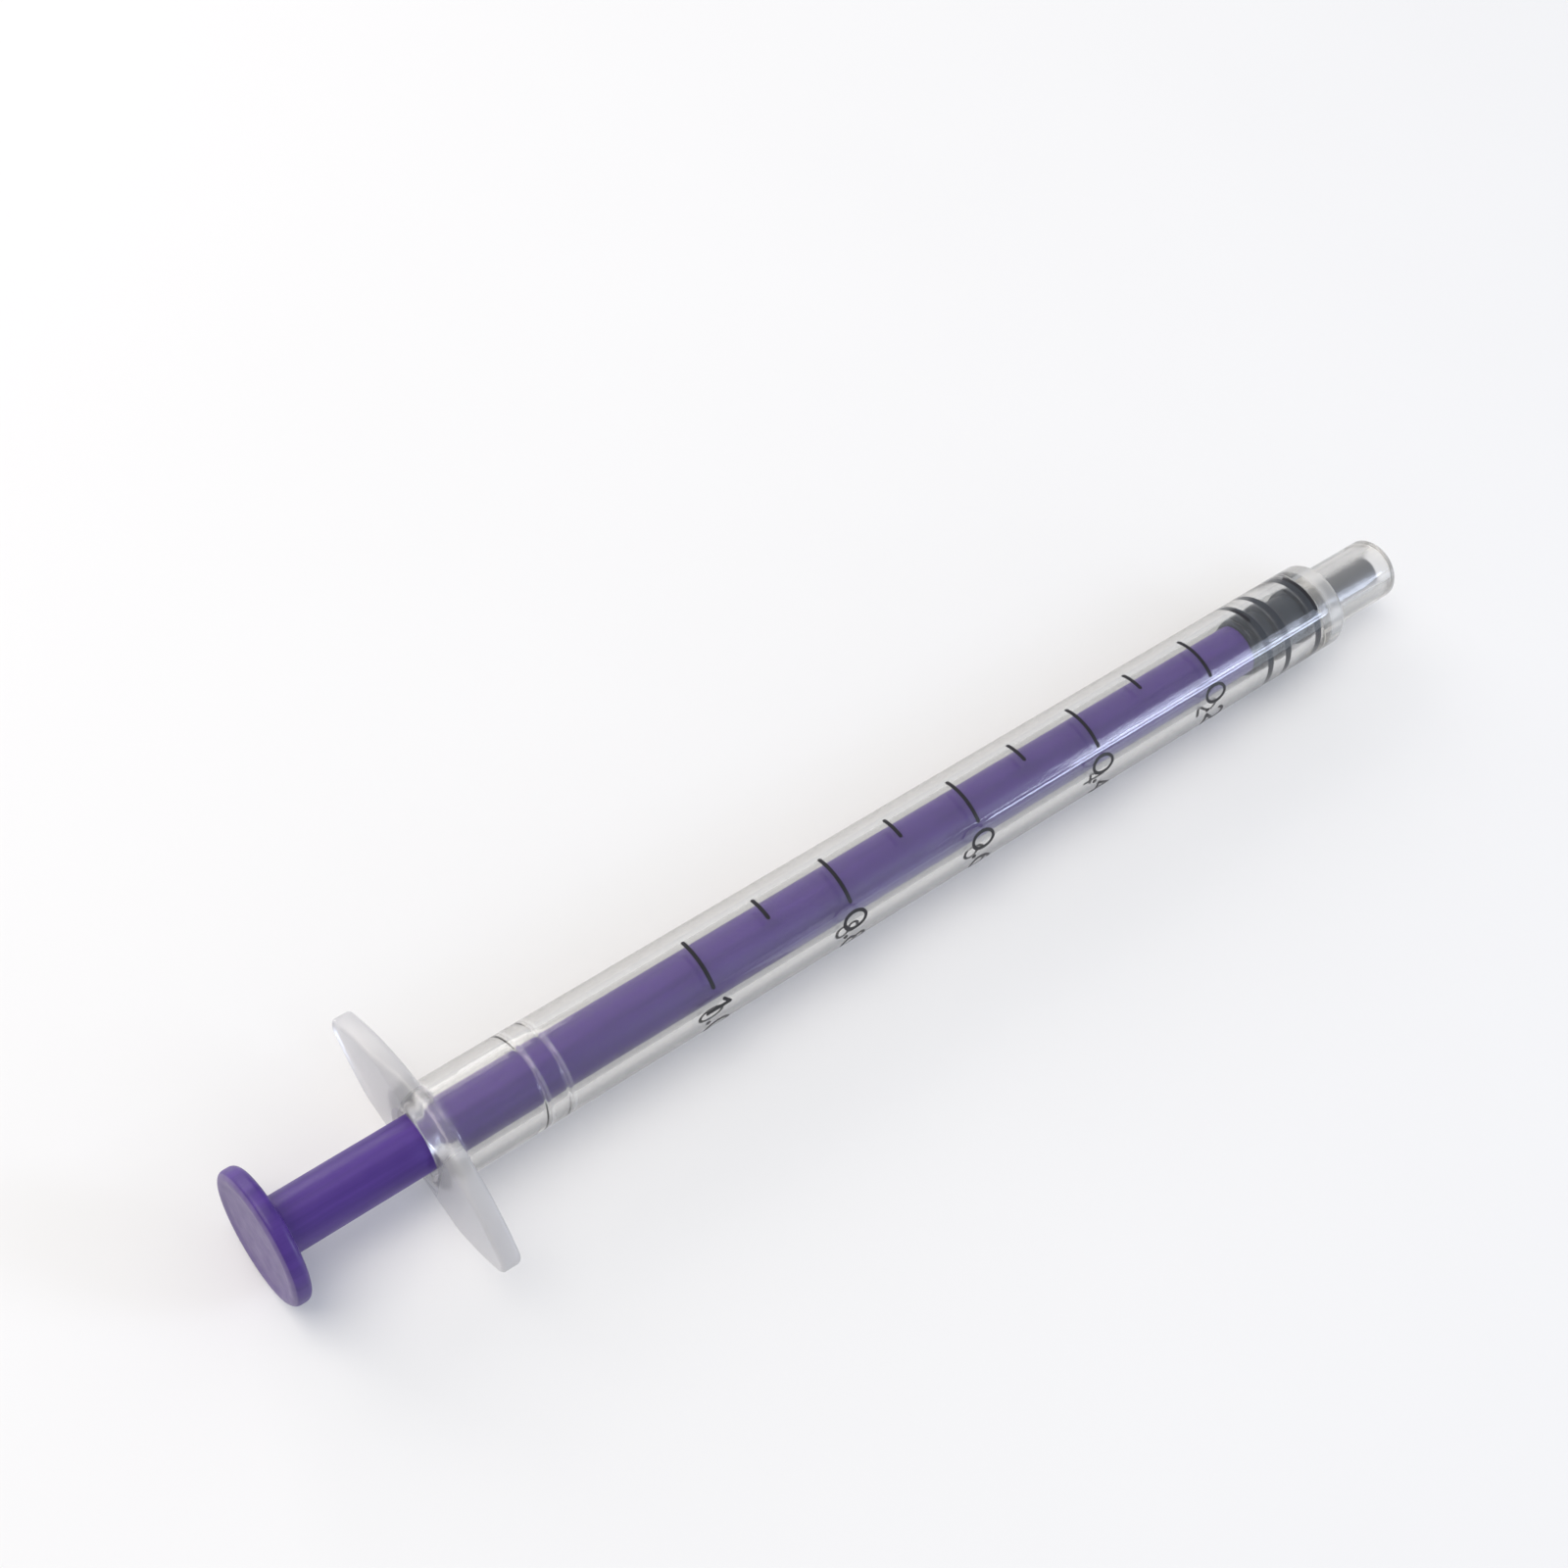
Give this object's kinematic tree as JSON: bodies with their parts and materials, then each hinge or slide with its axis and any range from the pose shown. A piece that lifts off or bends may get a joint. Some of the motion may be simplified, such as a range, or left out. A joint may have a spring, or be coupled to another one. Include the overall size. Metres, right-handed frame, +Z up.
{
  "type": "oral syringe",
  "caption": "Slim clear oral syringe with a two-lobed finger flange, printed volume scale, plain nozzle, purple plunger with round thumb disc, and rubber stopper.",
  "frame": {"origin": "under the middle of the syringe's length, on its axis in plan, at the height of the thumb disc's lowest point, so that the syringe lies on z = 0", "axes": "+X along the syringe's axis towards the nozzle, +Y along one lobe of the finger flange, +Z up with the syringe lying down and its scale facing up"},
  "size_m": [0.0992, 0.0194, 0.0092],
  "materials": {
    "clear_plastic": "clear, slightly milky polypropylene, glossy",
    "purple_plastic": "opaque purple polypropylene, satin",
    "stopper_rubber": "charcoal rubber, smooth, satin",
    "black_ink": "printed black ink, satin"
  },
  "bodies": {
    "barrel": {"barrel": "clear_plastic", "scale_line_0_0": "black_ink", "scale_line_0_1": "black_ink", "scale_line_0_2": "black_ink", "scale_line_0_3": "black_ink", "scale_line_0_4": "black_ink", "scale_line_0_5": "black_ink", "scale_line_0_6": "black_ink", "scale_line_0_7": "black_ink", "scale_line_0_8": "black_ink", "scale_line_0_9": "black_ink", "scale_line_1_0": "black_ink"},
    "stopper": {"stopper": "stopper_rubber"},
    "plunger": {"plunger_rod": "purple_plastic"}
  },
  "joints": [
    {"name": "plunger_slide", "type": "slide", "parent": "barrel", "child": "stopper", "axis": [-1, 0, 0], "range_m": [0, 0.062]},
    {"name": "plunger_spin", "type": "hinge", "parent": "stopper", "child": "plunger", "pos_m": [0, 0, 0.0046], "axis": [1, 0, 0], "continuous": true}
  ]
}
